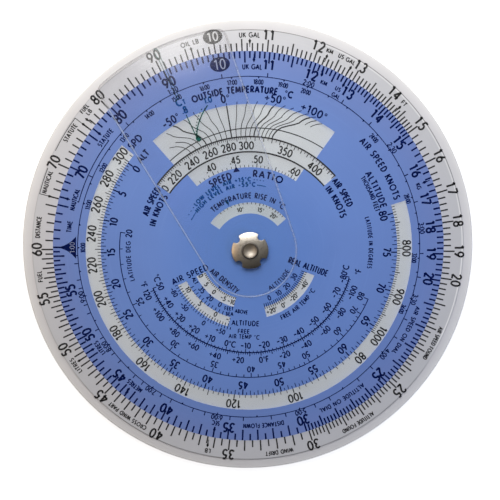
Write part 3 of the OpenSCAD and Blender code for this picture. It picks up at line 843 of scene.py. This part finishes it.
# Titles and legends of the blue face: text, radius, angle, size, pen, gap, length. The ends of the
# temperature lines are carried on over it, and the ratio scale has a small pointer.
blueFace = {
    "titles": [("OUTSIDE TEMPERATURE  °C", 52.4, -2.8, 1.95, 0.55, 0.2, 33.8),
               ("-50°", 49.15, -31.3, 2.4, 0.54, 0.18, 6.1), ("0°", 49.7, -9.25, 2.4, 0.54, 0.18, 2.7),
               ("+50°", 49.8, 9.4, 2.4, 0.54, 0.18, 6.9), ("+100°", 49.7, 24.7, 2.4, 0.54, 0.18, 9.2),
               ("SPEED", 24.65, -22.7, 2.1, 0.52, 0.2, 7.7), ("RATIO", 24.65, 13.8, 2.1, 0.52, 0.3, 10.2),
               ("TEMPERATURE RISE IN °C", 17.55, -2.5, 1.7, 0.38, 0.2, 26.2),
               ("AIR SPEED", 35.9, -63.5, 2.0, 0.5, 0.2, 10.0),
               ("AIR SPEED", 35.9, 58.1, 2.0, 0.5, 0.2, 10.4),
               ("IN KNOTS", 32.7, -66.3, 2.0, 0.5, 0.2, 11.0),
               ("IN KNOTS", 32.5, 60.8, 2.0, 0.5, 0.2, 11.4),
               ("SPD", 51.3, -46.5, 2.2, 0.5, 0.13, 5.2), ("ALT", 46.3, -48.5, 2.05, 0.5, 0.13, 4.5),
               ("AIR SPEED KNOTS", 51.5, 58.0, 2.05, 0.48, 0.24, 23.5),
               ("ALTITUDE", 46.4, 64.3, 2.0, 0.5, 0.26, 13.0),
               ("THOUSAND FEET", 44.3, 65.0, 1.45, 0.34, 0.2, 12.6),
               ("LATITUDE IN DEGREES", 40.3, 86.5, 1.35, 0.32, 0.3, 17.5),
               ("LATITUDE DEG", 40.1, 264.9, 1.35, 0.32, 0.24, 13.4)],
    "heatEnds": {"low": 48.7, "high": 49.5, "lean": 0.017, "pen": 0.26},
    "ratioMark": {"deg": -9.5, "at": 26.6, "shape": [[0, 1.9], [1.15, 0], [-1.15, 0]],
                  "stem": {"inner": 28.2, "outer": 29.0, "pen": 0.26}}}
writeRows(navy, blueFace["titles"])
heatEnds, ends = blueFace["heatEnds"], np.arange(-30, 101, heat["every"])
draw(navy, np.stack([polar(heatEnds["low"], heatHigh(ends)),
                     polar(heatEnds["high"], heatHigh(ends) + heatEnds["lean"] * np.maximum(ends, 0))], 1),
     heatEnds["pen"])
ratioMark = blueFace["ratioMark"]
stamp(navy, placed(ratioMark["shape"], ratioMark["at"], ratioMark["deg"]))
ticks(navy, ratioMark["deg"], **ratioMark["stem"])

# Altitude scale, thousands of feet, against the air speed ring, and the latitude arc, which follows the sine
altitudeDeg = lambda h: np.where(h <= 35, 305.8 - 2.29 * h - 0.01 * h * h, 213.47 - 3.063 * (h - 35))
latitudeDeg = lambda lat: 112.7 - 360 * np.log10(np.sin(np.radians(lat)) / np.sin(np.radians(80)))
altitudeScale = {"values": range(0, 81, 5), "figures": {"r": 45.3, "size": 2.35, "pen": 0.54},
                 "strokes": [(0.5, 80.5, 1, 48.9, 49.85, 0.26), (0, 80.5, 1, 48.25, 49.85, 0.26),
                             (0, 80.5, 5, 47.9, 49.85, 0.42)]}
latitudeScale = {"values": [*range(20, 51, 5), 60, 70, 80], "figures": {"r": 39.9, "size": 1.9, "pen": 0.42},
                 "strokes": [(20, 50, 1, 42.65, 43.65, 0.26), (50, 71, 2, 42.65, 43.65, 0.26),
                             (75, 76, 1, 42.65, 43.65, 0.26), (20, 51, 5, 42.05, 43.65, 0.3),
                             (60, 81, 10, 42.05, 43.65, 0.3)],
                 "arc": {"r": 43.65, "first": 112.6, "last": 278.2, "pen": 0.3}}
scaleRing(navy, altitudeScale, altitudeDeg)
scaleRing(navy, latitudeScale, latitudeDeg)
ring(navy, **latitudeScale["arc"])

# Two temperature scales on one arc, tops to the hub, with their ends and zeros as words: text, radius, angle
celsius = lambda c: 193.5 + 1.102 * np.asarray(c, float)
fahrenheit = lambda f: celsius((np.asarray(f, float) - 32) / 1.8)
arcFigures = {"size": 1.9, "pen": 0.42, "gap": 0.12, "facing": -1}
celsiusScale = {"values": [c for c in range(-70, 50, 10) if c], "figures": {"r": 33.6, **arcFigures},
                "strokes": [(-80, 51, 2, 34.4, 35.05, 0.24), (-80, 51, 10, 33.86, 35.05, 0.3)]}
fahrenheitScale = {"values": [f for f in range(-100, 120, 20) if f], "figures": {"r": 38.7, **arcFigures},
                   "strokes": [(-110, 121, 2, 35.05, 35.75, 0.24), (-100, 121, 10, 35.05, 36.3, 0.3)]}
arcEnds = {"arc": {"r": 35.05, "first": 105.8, "last": 248.7, "pen": 0.42},
           "words": [("-80", 33.95, 106.2), ("°C", 34.05, 101.1), ("°F", 38.45, 101.5), ("50", 33.45, 248.2),
                     ("°C", 33.65, 253.6), ("120", 38.65, 246.6), ("°F", 38.45, 252.3),
                     ("0°C", 33.6, celsius(0) - 1.6), ("0°F", 38.7, fahrenheit(0) - 1.2)]}
scaleRing(navy, celsiusScale, celsius, "{:+d}".format)
scaleRing(navy, fahrenheitScale, fahrenheit, "{:+d}".format)
for text, r, deg in arcEnds["words"]:
    write(navy, text, r, deg, **arcFigures)
ring(navy, **arcEnds["arc"])

# Beside the small windows: figures and words round the hub with their tops to it, and straight words, which
# are text, radius, angle, turn, size, pen and length
blueWindows = {
    "airTemperature": ([(0, 157.9), (10, 146.2), (20, 134.4), (30, 121.3)],
                       {"r": 18.3, "size": 1.6, "pen": 0.38, "facing": -1}),
    "altitude": ([(-80, 241), (-50, 229.2), (0, 212.4), ("+50", 200)],
                 {"r": 30.05, "size": 1.55, "pen": 0.36, "facing": -1}),
    "density": ([(35, 230.4), (20, 219.8), (0, 208.8)], {"r": 21.8, "size": 1.6, "pen": 0.36, "facing": -1})}
windowWords = {
    "round": [("ALTITUDE", 15.2, 135.7, 1.4, 0.32, 0.2, 9.0), ("ALT", 21.8, 241.0, 1.25, 0.3, 0.13, 2.3),
              ("FREE AIR TEMP °C", 26.1, 138.7, 1.45, 0.33, 0.2, 14.8)],
    "straight": [("AIR SPEED", 21.8, 248.1, -23.4, 1.85, 0.407, 13.0),
                 ("AIR DENSITY", 13.45, 219.6, 39.5, 1.75, 0.385, 11.6),
                 ("REAL ALTITUDE", 20.5, 105.9, 20, 1.95, 0.429, 13.9),
                 ("ALTITUDE", 24.9, 183.5, 2.5, 1.6, 0.352, 9.2), ("FREE", 27.75, 184.4, 3, 1.4, 0.3, 3.9),
                 ("AIR TEMP °C", 29.6, 183.8, 3, 1.4, 0.3, 10.4), ("FEET", 21.0, 199.7, 3, 1.15, 0.3, 3.0),
                 ("ABOVE", 21.1, 187.9, 8, 1.15, 0.3, 4.2), ("SEA", 22.7, 197.7, 4, 1.15, 0.3, 2.4)],
    "densityMark": {"deg": 219.2, "at": 15.7, "shape": [[0, 1.0], [0.75, 0], [-0.75, 0]]}}
for row, figures in blueWindows.values():
    numbers(navy, row, figures)
strokes(navy, [(112, 166.5, 2.05, 18.75, 19.95, 0.26), (194, 250, 2.1, 27.05, 28.0, 0.26),
               (200, 240, 3.4, 22.5, 23.7, 0.28)])
writeRows(navy, windowWords["round"], facing=-1)
for text, r, deg, turn, size, pen, span in windowWords["straight"]:
    writeStraight(navy, text, r, deg, turn, size, pen, span)
densityMark = windowWords["densityMark"]
stamp(navy, placed(densityMark["shape"], densityMark["at"], densityMark["deg"]))

# Heavy black lines along the joins of the upper windows, on the clear sheet and the blue alike
windowJoins = {"at": (37.9, 32.9), "first": -54.6, "last": 49.1, "pen": 0.5}
joins = blankLayer()
for r in windowJoins["at"]:
    ring(joins, r, windowJoins["first"], windowJoins["last"], windowJoins["pen"])
print("blue face print drawn")

# Green print under the cursor: a double hairline with a long open eye at its outer end, a straight and a
# bowed guide line that meet in a spot, a dashed line between them, two lines of small legend with dots and
# dashes at their ends, and a pointer for the rise window
hair = {"deg": -25.1, "line": {"apart": 0.42, "inner": 56.0, "outer": 70.1, "pen": 0.22},
        "eye": {"at": 71.5, "half": [0.72, 1.75], "pen": 0.26},
        "guide": {"inner": 41.2, "outer": 49.7, "pen": 0.34},
        "reach": 8.9, "bowed": {"deg": -24.9, "turn": 8.7, "power": 1.45, "pen": 0.4},
        "dashed": {"deg": -25.0, "turn": 7.0, "power": 1.6, "pen": 0.34, "from": 0.14, "to": 0.9,
                   "dash": 0.04},
        "spot": {"at": 40.9, "deg": -24.7, "half": [0.8, 1.05]},
        "legend": [("C", 53.2, -25.7, 2.3, 0.6, 0.13, None), ("T", 53.0, -23.8, 1.5, 0.44, 0.13, None),
                   (".8", 50.3, -24.9, 2.0, 0.6, 0.13, None), ("1.0", 50.8, -15.6, 1.8, 0.48, 0.13, None),
                   ("LOW LEVEL AIR +15°C", 23.2, -24.8, 1.25, 0.45, 0.3, 21.2),
                   ("HIGH LEVEL AIR -55°C", 21.5, -24.6, 1.25, 0.45, 0.3, 22.6)],
        "dots": {"at": 23.7, "degs": [-52.7, -56.1, -59.5, 3.5, 6.0, 8.5, 11.0], "half": 0.5, "pen": 0.3},
        "dashes": [(22.1, -62.5, -54.6, 0.3), (22.0, 6.2, 14, 0.3)],
        "pointer": {"at": 17.6, "shape": [[0, -1.3], [0.65, 0.9], [-0.65, 0.9]]}}
green, greenLegend = blankLayer(), blankLayer()


def bowedLine(curve, part):
    # A line that leaves the spot straight out and turns more and more, by a power of the way along it
    return polar(hair["guide"]["inner"] + hair["reach"] * part,
                 curve["deg"] + curve["turn"] * part ** curve["power"])


line, eyelet, spot, dots, dashed = hair["line"], hair["eye"], hair["spot"], hair["dots"], hair["dashed"]
for across in (-line["apart"], line["apart"]):
    draw(green, placed([[across, line["inner"]], [across, line["outer"]]], 0, hair["deg"]), line["pen"])
draw(green, placed(polar(1, np.linspace(0, 360, 25)) * eyelet["half"], eyelet["at"], hair["deg"]),
     eyelet["pen"])
ticks(green, hair["deg"], **hair["guide"])
draw(green, bowedLine(hair["bowed"], np.linspace(0, 1, 15)), hair["bowed"]["pen"])
dashParts = np.linspace(dashed["from"], dashed["to"], 9)[:, None] + [0, dashed["dash"]]
draw(green, bowedLine(dashed, dashParts), dashed["pen"])
stamp(green, placed(ellipse[::3] * spot["half"], spot["at"], spot["deg"]))
writeRows(greenLegend, hair["legend"])
for deg in dots["degs"]:
    ring(greenLegend, dots["at"], deg - dots["half"], deg + dots["half"], dots["pen"])
for dash in hair["dashes"]:
    ring(greenLegend, *dash)
stamp(greenLegend, placed(hair["pointer"]["shape"], hair["pointer"]["at"], hair["deg"]))
print("cursor print drawn")

# Rear: log ring on the sheet, degrees and a sine scale on the wind disc, compass rose on the frosted disc.
# The spans of the log ring are first and last value, step, and how many steps apart the long strokes are.
rearRing = {"zero": 0.0, "edge": 66.2, "short": 68.4, "long": 69.4, "pen": 0.22,
            "spans": [(10, 20, 0.1, 5), (20, 40, 0.2, 5), (40, 100, 0.5, 2)],
            "figures": {"r": 69.8, "size": 2.5, "pen": 0.4}}
rearSheet, rearWind, rearRose, rearGreen = (blankLayer() for _ in range(4))
for first, last, step, every in rearRing["spans"]:
    values = first + step * np.arange(round((last - first) / step))
    far = np.where(np.arange(len(values)) % every == 0, rearRing["long"], rearRing["short"])
    ticks(rearSheet, logDeg(values, rearRing["zero"]), rearRing["edge"], far, rearRing["pen"])
numbers(rearSheet, [(v, logDeg(v, rearRing["zero"])) for v in [10] + wholeNumbers], rearRing["figures"])
windRing = {"edge": 65.8, "short": 64.2, "five": 63.4, "ten": 62.6, "pen": 0.2,
            "figures": {"r": 59.6, "size": 2.3, "pen": 0.34, "gap": 0.1}}
degrees = np.arange(360)
near = np.where(degrees % 10 == 0, windRing["ten"],
                np.where(degrees % 5 == 0, windRing["five"], windRing["short"]))
ticks(rearWind, degrees, near, windRing["edge"], windRing["pen"])
numbers(rearWind, [(deg or 360, deg) for deg in range(0, 360, 10)], windRing["figures"])
sineScale = {"values": [*range(6, 10), *range(10, 20, 2), *range(20, 51, 5), 60, 70],
             "figures": {"r": 54.6, "size": 1.9, "pen": 0.3},
             "strokes": [(6, 20, 0.5, 57.2, 58.6, 0.18), (20, 45, 1, 57.2, 58.6, 0.18),
                         (45, 71, 5, 57.2, 58.6, 0.18)],
             "circle": {"r": 58.6, "first": 0, "last": 360, "pen": 0.2}}
scaleRing(rearWind, sineScale, lambda a: 360 * np.log10(np.sin(np.radians(a)) / np.sin(np.radians(5.74))))
ring(rearWind, **sineScale["circle"])
rose = {"strokes": [(0, 360, 2, 49.8, 51.4, 0.18), (0, 360, 10, 48.4, 51.4, 0.24),
                    (90, 271, 90, 7.5, 43.5, 0.16)],
        "figures": {"r": 44.6, "size": 2.6, "pen": 0.4},
        "circles": range(10, 41, 10), "circlePen": 0.16, "circleFigures": {"size": 1.6, "pen": 0.24},
        "dashed": range(15, 41, 10), "dashEvery": 6, "dashLong": 2, "dashPen": 0.12,
        "course": {"inner": 7.5, "outer": 43.5, "pen": 0.3},
        "head": [[0, 2.6], [1.7, -1.4], [0, -0.4], [-1.7, -1.4]], "headAt": 40.5,
        "words": [("COURSE", 33.2, 11, 1.9, 0.32, 0.22, None), ("WIND", 33.2, 90, 1.9, 0.32, 0.22, None)]}
strokes(rearRose, rose["strokes"])
numbers(rearRose, [(deg or 360, deg) for deg in range(0, 360, 30)], rose["figures"])
for r in rose["circles"]:
    ring(rearRose, r, 0, 360, rose["circlePen"])
    write(rearRose, str(r), r + 0.5, 91.2 + 40 / r, **rose["circleFigures"])  # beside the level line
for r in rose["dashed"]:
    for deg in range(0, 360, rose["dashEvery"]):
        ring(rearRose, r, deg, deg + rose["dashLong"], rose["dashPen"])
ticks(rearGreen, 0, **rose["course"])
stamp(rearGreen, placed(rose["head"], rose["headAt"], 0))
writeRows(rearGreen, rose["words"])
print("rear print drawn")

# All the ink: piece, layer, bottom, top, body, slot, finish. Print below the core's middle is on the rear.
# The layers of the disc and the cursor lie so close to what is under them that in soft light they drop no
# shadow to speak of.
prints = [("base_front_print", black, 4.58, 4.61, "base", "black_ink", "blackInk"),
          ("base_front_print_white", blackUpper, 4.61, 4.63, "base", "printed_white_vinyl", "whiteInk"),
          ("blue_face_print", navy, 5.52, 5.55, "computer", "navy_ink", "navyInk"),
          ("blue_face_print_white", navyUpper, 5.55, 5.57, "computer", "printed_white_vinyl", "thinWhiteInk"),
          ("window_lines", joins, 5.42, 5.545, "computer", "black_ink", "blackInk"),
          ("cursor_print", green, 5.63, 5.66, "pointer", "navy_ink", "greenInk"),
          ("cursor_legend", greenLegend, 5.63, 5.66, "pointer", "navy_ink", "paleGreenInk"),
          ("rear_sheet_print", rearSheet, 2.95, 2.98, "base", "black_ink", "blackInk"),
          ("wind_disc_print", rearWind, 2.11, 2.14, "wind", "black_ink", "blackInk"),
          ("compass_disc_print", rearRose, 1.37, 1.4, "compass", "black_ink", "blackInk"),
          ("compass_disc_course_print", rearGreen, 1.37, 1.4, "compass", "navy_ink", "greenInk")]
for name, layer, bottom, top, body, slot, finish in prints:
    piece = printLayer(name, layer, bottom, top, body, finish, rear=bottom < middle)
    piece.visible_shadow = body not in ("computer", "pointer")
for piece in (cursor, *(nodes[name] for name in ("computing_disc", "computing_face", "inner_graduations"))):
    piece.visible_shadow = False
print("print made:", len(prints), "pieces")

# Camera at the place of the photograph
eye = {"at": (-7.3107, 22.1773, 252.0164), "tip": 5.1193, "roll": 1.7094, "lens": 52.9456}
lens = bpy.data.cameras.new("photo_camera")
lens.lens, lens.sensor_width, lens.clip_start, lens.clip_end = eye["lens"], 36, 0.01, 20
camera = bpy.data.objects.new("photo_camera", lens)
scene.collection.objects.link(camera)
turnIn = Matrix.Rotation(np.radians(eye["tip"]), 3, "X") @ Matrix.Rotation(np.radians(eye["roll"]), 3, "Y")
camera.matrix_world = Matrix.Translation([v * mm for v in eye["at"]]) @ turnIn.transposed().to_4x4()
scene.camera = camera

# One broad soft lamp above the twelve o'clock side, two weak ones beside the rule, warm on the left and
# cool on the right, and a plain room round them: place, size, watts, colour
studio = {"room": 0.31, "backdrop": 0.86, "lifted": 0.8,
          "lamps": {"window_lamp": ((-0.03, 0.235, 0.22), 0.3, 1.03, "#fffcf8"),
                    "warm_fill": ((-0.222, 0.0, 0.226), 0.16, 0.11, "#ffd6a4"),
                    "cool_fill": ((0.24, -0.1, 0.14), 0.2, 0.21, "#cadcff")}}
for lampName, (at, size, watts, colour) in studio["lamps"].items():
    lamp = bpy.data.lights.new(lampName, "AREA")
    lamp.shape, lamp.size, lamp.energy, lamp.color = "DISK", size, watts, linear(colour)[:3]
    lampObject = bpy.data.objects.new(lampName, lamp)
    scene.collection.objects.link(lampObject)
    lampObject.location = at
    lampObject.rotation_mode = "QUATERNION"
    lampObject.rotation_quaternion = (-lampObject.location).to_track_quat("-Z", "Y")
    lampObject.visible_camera = False
    lampObject.visible_glossy = lampName != "cool_fill"

world = bpy.data.worlds.new("room")
scene.world = world
world.use_nodes = True
world.node_tree.nodes.clear()
toward = put(world.node_tree, "TexCoord").outputs["Generated"]
lean = put(world.node_tree, "VectorMath", {0: toward, 1: (-0.25, 0.97, 0)}, operation="DOT_PRODUCT")
ahead = put(world.node_tree, "MapRange", {0: lean.outputs["Value"], 1: -0.75, 2: 0.8, 3: 0.0, 4: 1.0})
wall = put(world.node_tree, "ValToRGB", {0: ahead},
           stops=[(0, linear("#2c2823")), (0.5, linear("#b5b5b6")), (1, linear("#eff4ff"))])
glow = put(world.node_tree, "Background", {0: wall, 1: studio["room"]})
pale = put(world.node_tree, "Background", {0: linear("#ffffff"), 1: studio["backdrop"]})
direct = put(world.node_tree, "LightPath").outputs["Is Camera Ray"]
sky = put(world.node_tree, "MixShader", {0: direct, 1: glow, 2: pale})
put(world.node_tree, "OutputWorld", {0: sky})


def paleFloor(tree, lifted):
    # Painted board, matt: lit like the object, so it keeps the shadow, and lifted to white for what sees
    # it directly
    paths = put(tree, "LightPath")
    seen = paths.outputs["Is Camera Ray"]
    for ray in ("Is Glossy Ray", "Is Transmission Ray"):
        seen = put(tree, "Math", {0: seen, 1: paths.outputs[ray]}, operation="MAXIMUM")
    lift = put(tree, "Math", {0: seen, 1: lifted}, operation="MULTIPLY")
    paint = put(tree, "BsdfDiffuse", {"Color": linear("#dcdcdc")})
    raised = put(tree, "Emission", {"Color": (1, 1, 1, 1), "Strength": lift})
    return put(tree, "AddShader", {0: paint, 1: raised})


floorMesh = bpy.data.meshes.new("floor")
floorMesh.from_pydata([(-3, -3, 0), (3, -3, 0), (3, 3, 0), (-3, 3, 0)], [], [(0, 1, 2, 3)])
floorMesh.materials.append(newFinish("pale_floor", paleFloor, studio["lifted"]))
floor = bpy.data.objects.new("floor", floorMesh)
scene.collection.objects.link(floor)
print("camera, lamps and floor set")
